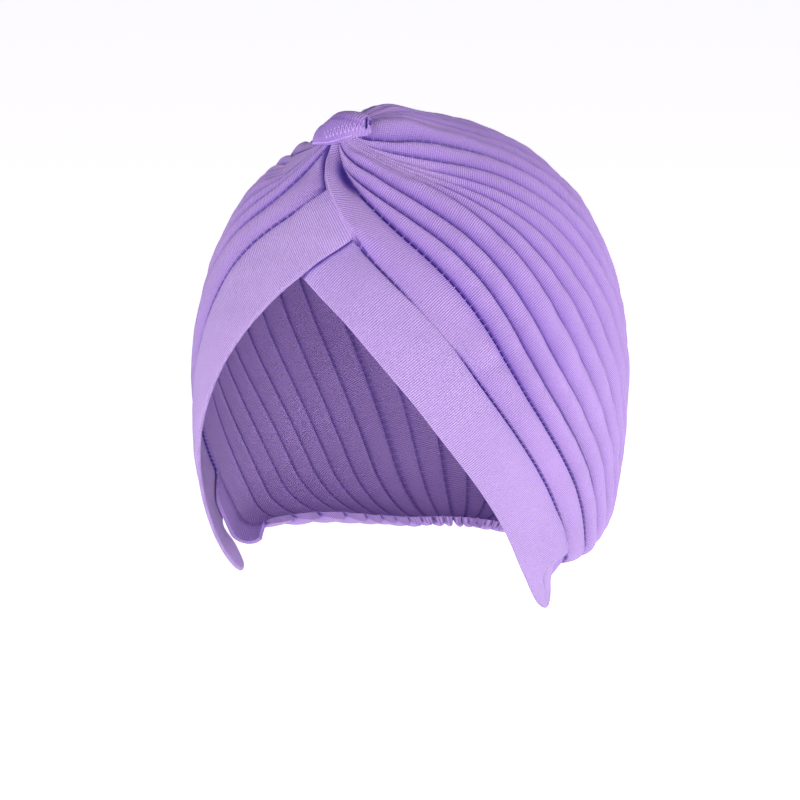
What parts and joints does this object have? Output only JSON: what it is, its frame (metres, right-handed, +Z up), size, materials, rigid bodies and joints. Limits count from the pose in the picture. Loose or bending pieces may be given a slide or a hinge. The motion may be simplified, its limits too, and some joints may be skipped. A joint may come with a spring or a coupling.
{
  "type": "knotted turban",
  "caption": "Pull-on lilac jersey turban with pleated sides, crossed front bands and a short gathered strip over the knot.",
  "frame": {"origin": "highest point of the hollow, on the inside of the cloth, where the crown of a head meets it", "axes": "+Z up, -Y towards the front, +X towards the wearer's left side; +X is the shortest extent"},
  "size_m": [0.1502, 0.1753, 0.1769],
  "materials": {
    "pleated_jersey": "matt lilac rib-knit jersey in stitched pleats, soft sheen",
    "band_jersey": "matt lilac jersey, smooth, soft sheen",
    "knot_jersey": "matt lilac rib-knit jersey, folded, with zigzag stitching"
  },
  "bodies": {
    "root": {"left_panel": "pleated_jersey", "right_panel": "pleated_jersey", "left_band": "band_jersey", "right_band": "band_jersey", "knot_strip": "knot_jersey"}
  },
  "joints": []
}
